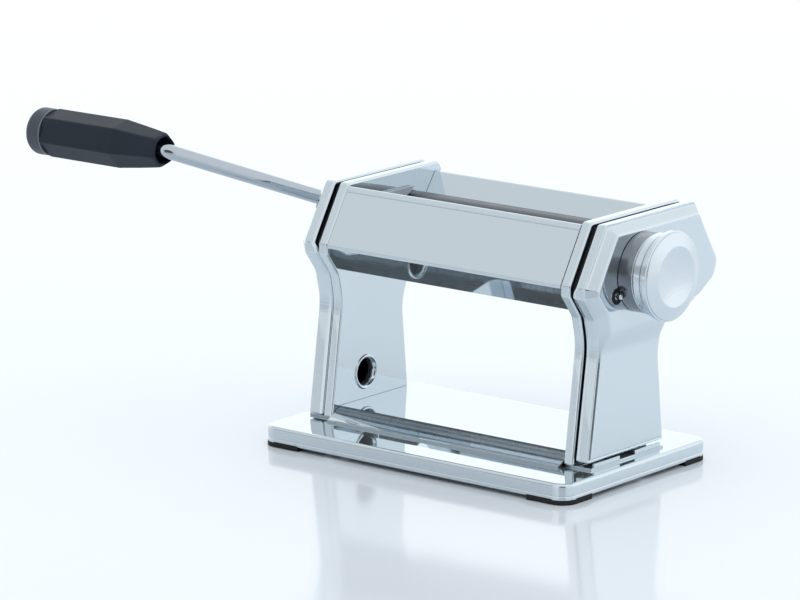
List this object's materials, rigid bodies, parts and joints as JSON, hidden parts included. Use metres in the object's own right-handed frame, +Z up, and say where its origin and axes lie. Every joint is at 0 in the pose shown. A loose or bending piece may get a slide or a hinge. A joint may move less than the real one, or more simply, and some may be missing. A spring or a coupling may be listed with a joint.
{
  "type": "pasta machine",
  "caption": "Hand cranked pasta machine: pressed cheeks on a tray, geared rollers under an open hopper, a thickness knob at one end and a removable crank with a six-sided grip at the other.",
  "frame": {"origin": "on the table plane under the middle of the base tray", "axes": "+X along the rollers to the knob, -Y to the front, +Z up"},
  "size_m": [0.3828, 0.141, 0.1592],
  "materials": {
    "chrome": "mirror polished",
    "steel": "plain",
    "bronze": "sintered",
    "bush": "moulded",
    "foot": "matte",
    "grip": "satin"
  },
  "bodies": {
    "frame": {"base_tray": "chrome", "base_bridge": "chrome", "foot_front_left": "foot", "foot_front_right": "foot", "foot_rear_left": "foot", "foot_rear_right": "foot", "base_screws": "steel", "left_inner_shell": "chrome", "left_outer_shell": "chrome", "right_inner_shell": "chrome", "right_outer_shell": "chrome", "leg_spacers": "steel", "front_tie_rod": "steel", "rear_upper_tie_rod": "steel", "rear_lower_tie_rod": "steel", "tie_rod_nuts": "steel", "front_cover": "chrome", "rear_cover": "chrome", "hopper_guide": "chrome", "dough_guide_left": "bush", "dough_guide_right": "bush", "front_scraper": "steel", "rear_scraper": "steel", "rear_bush_left": "bush", "rear_bush_right": "bush", "socket_bush": "bush", "spindle_bush": "bush", "index_peg": "chrome", "left_guide_rails": "steel", "right_guide_rails": "steel"},
    "carriage": {"left_bearing_slide": "bronze", "right_bearing_slide": "bronze", "slide_tie_bar": "steel", "follower_pin": "steel"},
    "front_roller": {"front_roller": "chrome", "front_gear": "steel", "front_gear_clip": "steel"},
    "drive": {"rear_roller": "chrome", "drive_gear": "steel", "drive_gear_clip": "steel"},
    "regulator": {"regulator_spindle": "steel", "regulator_cam": "steel", "spindle_retainer": "steel", "knob_spring": "steel"},
    "knob": {"regulator_knob": "chrome", "knob_cap": "chrome"},
    "crank": {"crank_rod": "chrome", "crank_collar": "steel", "grip_washer": "steel"},
    "grip": {"grip_sleeve": "grip", "grip_cap": "grip"}
  },
  "joints": [
    {"name": "crank_turn", "type": "hinge", "parent": "frame", "child": "drive", "pos_m": [0, 0.03455, 0.109], "axis": [1, 0, 0], "continuous": true},
    {"name": "crank_pull", "type": "slide", "parent": "drive", "child": "crank", "axis": [-1, 0, 0], "range_m": [0, 0.024]},
    {"name": "grip_spin", "type": "hinge", "parent": "crank", "child": "grip", "pos_m": [-0.21, -0.05172, 0.14633], "axis": [1, 0, 0], "continuous": true},
    {"name": "carriage_slide", "type": "slide", "parent": "frame", "child": "carriage", "axis": [0, -1, 0], "range_m": [0, 0.0024]},
    {"name": "front_roller_turn", "type": "hinge", "parent": "carriage", "child": "front_roller", "pos_m": [0, 0.00495, 0.109], "axis": [1, 0, 0], "continuous": true},
    {"name": "regulator_turn", "type": "hinge", "parent": "frame", "child": "regulator", "pos_m": [0, 0.00495, 0.109], "axis": [1, 0, 0], "range_deg": [0, 270]},
    {"name": "knob_pull", "type": "slide", "parent": "regulator", "child": "knob", "axis": [1, 0, 0], "range_m": [0, 0.004], "stiffness_N_per_m": 1500, "springref_m": -0.002, "deforming": ["knob_spring"]}
  ],
  "couplings": [
    {"joint": "front_roller_turn", "follows": "crank_turn", "ratio": -1},
    {"joint": "regulator_turn", "follows": "carriage_slide", "rad_per_m": 1963.5}
  ]
}
